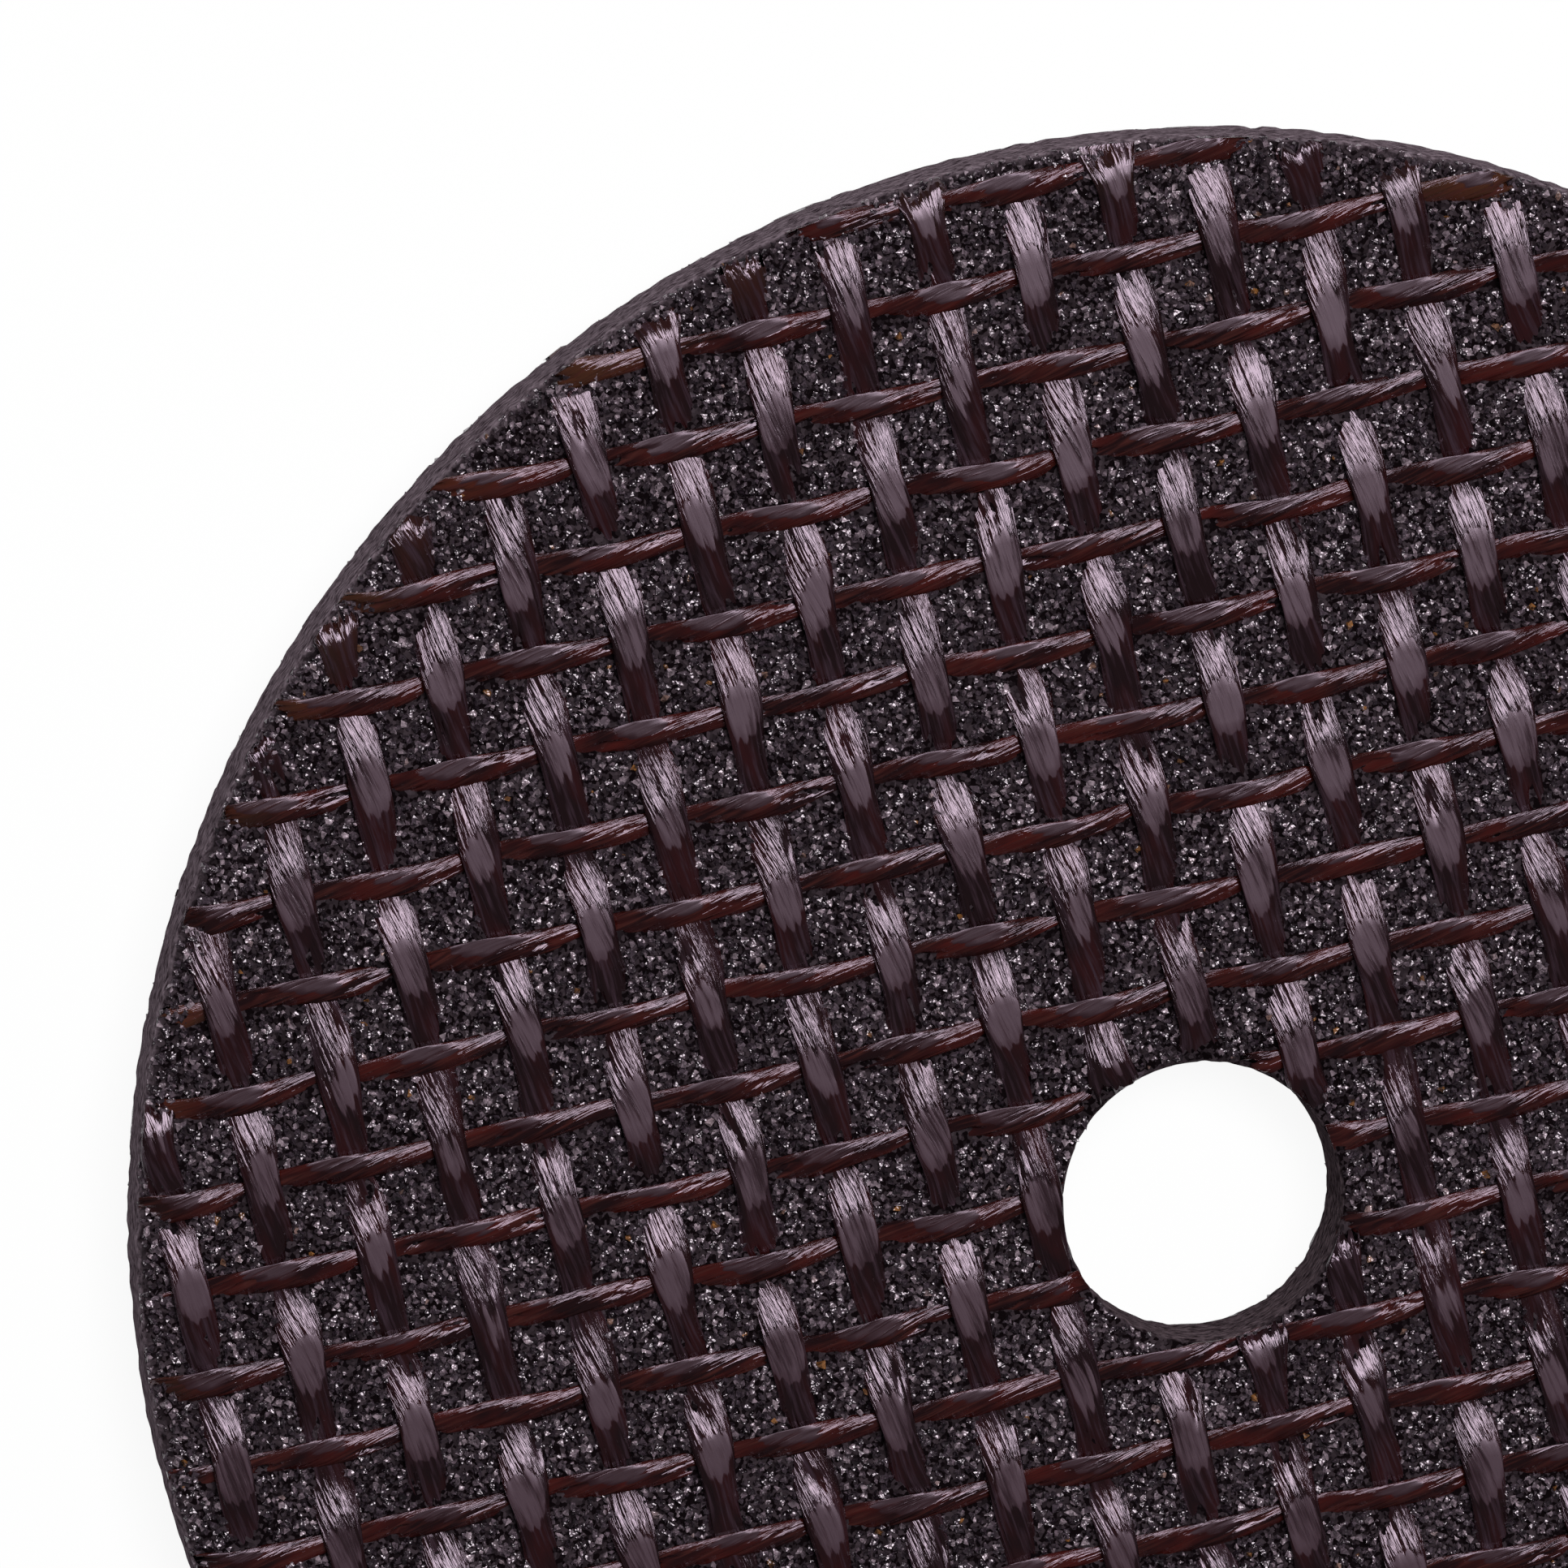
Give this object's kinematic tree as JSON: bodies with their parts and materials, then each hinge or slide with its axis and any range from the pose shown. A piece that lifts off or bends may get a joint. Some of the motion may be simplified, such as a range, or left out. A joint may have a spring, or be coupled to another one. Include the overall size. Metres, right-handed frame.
{
  "type": "cut off wheel",
  "caption": "Thin round abrasive cut-off wheel with a plain arbor hole and a woven glass mesh pressed into both faces, for cutting metal on a small grinder.",
  "frame": {"origin": "on the wheel's axis, at the level of the yarn crowns of the back face that the wheel lies on", "axes": "+Z along the arbor hole, up through the front face"},
  "size_m": [0.076, 0.076, 0.0036],
  "materials": {
    "bonded_abrasive": "dark grey grit in black-brown resin, with glossy mauve-grey and red-brown glass yarns"
  },
  "bodies": {
    "root": {"cut_off_wheel": "bonded_abrasive"}
  },
  "joints": []
}
